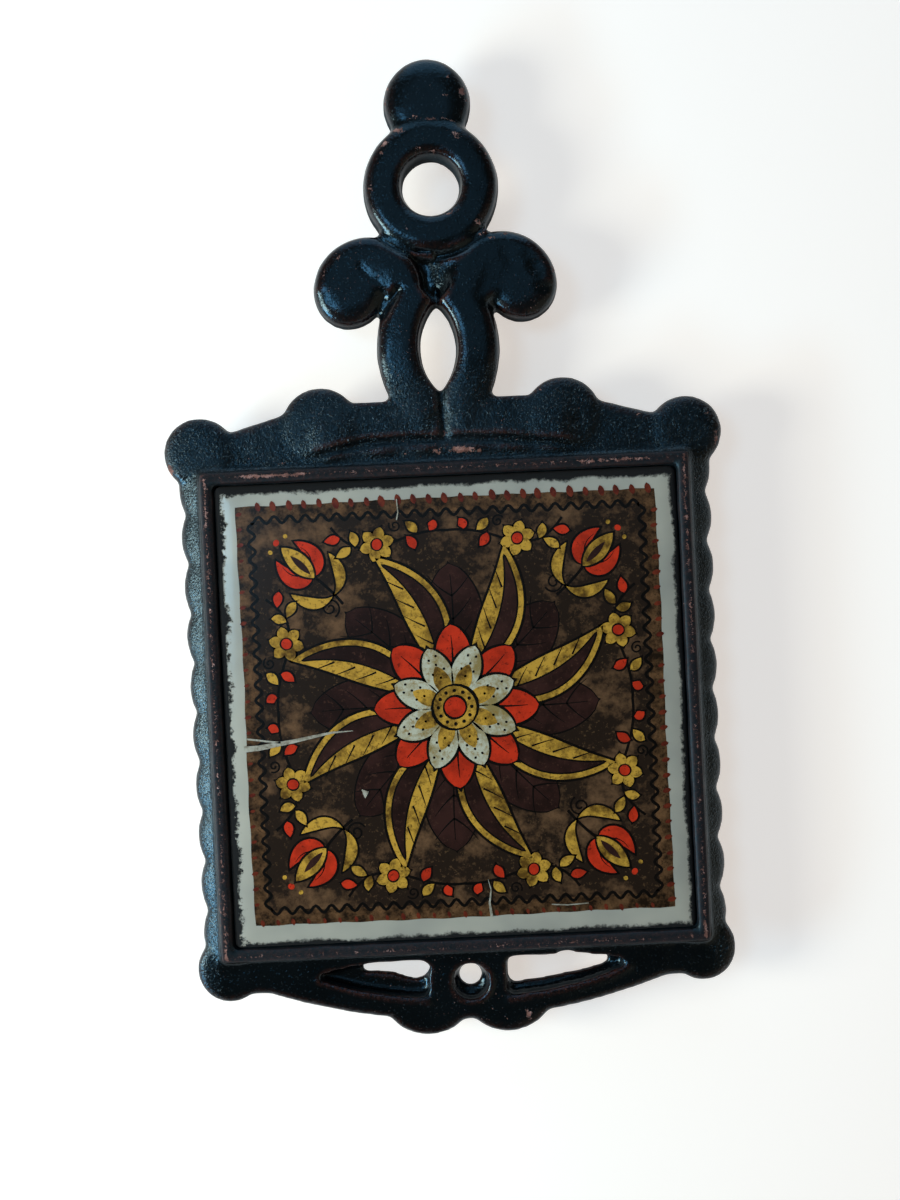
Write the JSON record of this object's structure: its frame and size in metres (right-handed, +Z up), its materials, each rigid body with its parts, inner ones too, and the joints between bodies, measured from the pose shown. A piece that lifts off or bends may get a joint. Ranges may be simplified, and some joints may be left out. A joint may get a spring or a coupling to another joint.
{
  "type": "trivet",
  "caption": "Footed cast-iron trivet with scalloped sides, scrolled hanging handle and an inset square glazed tile to stand hot dishes on.",
  "frame": {"origin": "middle of the part's plan, on the surface that the foot caps stand on", "axes": "+Y from the foot rail to the hanging handle, +X to the right seen from above, +Z up out of the tile's face"},
  "size_m": [0.1322, 0.231, 0.0182],
  "materials": {
    "painted_iron": "sand-cast iron under worn satin black paint, chipped to reddish brown on the high edges",
    "glazed_tile": "white glazed earthenware with a matte-edged colour print, glossy",
    "tile_adhesive": "hardened tan mastic, dull",
    "foot_rubber": "moulded black rubber, matt and slightly dusty"
  },
  "bodies": {
    "root": {"cast_frame": "painted_iron", "tile": "glazed_tile", "adhesive_bed": "tile_adhesive", "foot_cap_front_left": "foot_rubber", "foot_cap_front_right": "foot_rubber", "foot_cap_back_left": "foot_rubber", "foot_cap_back_right": "foot_rubber"}
  },
  "joints": []
}
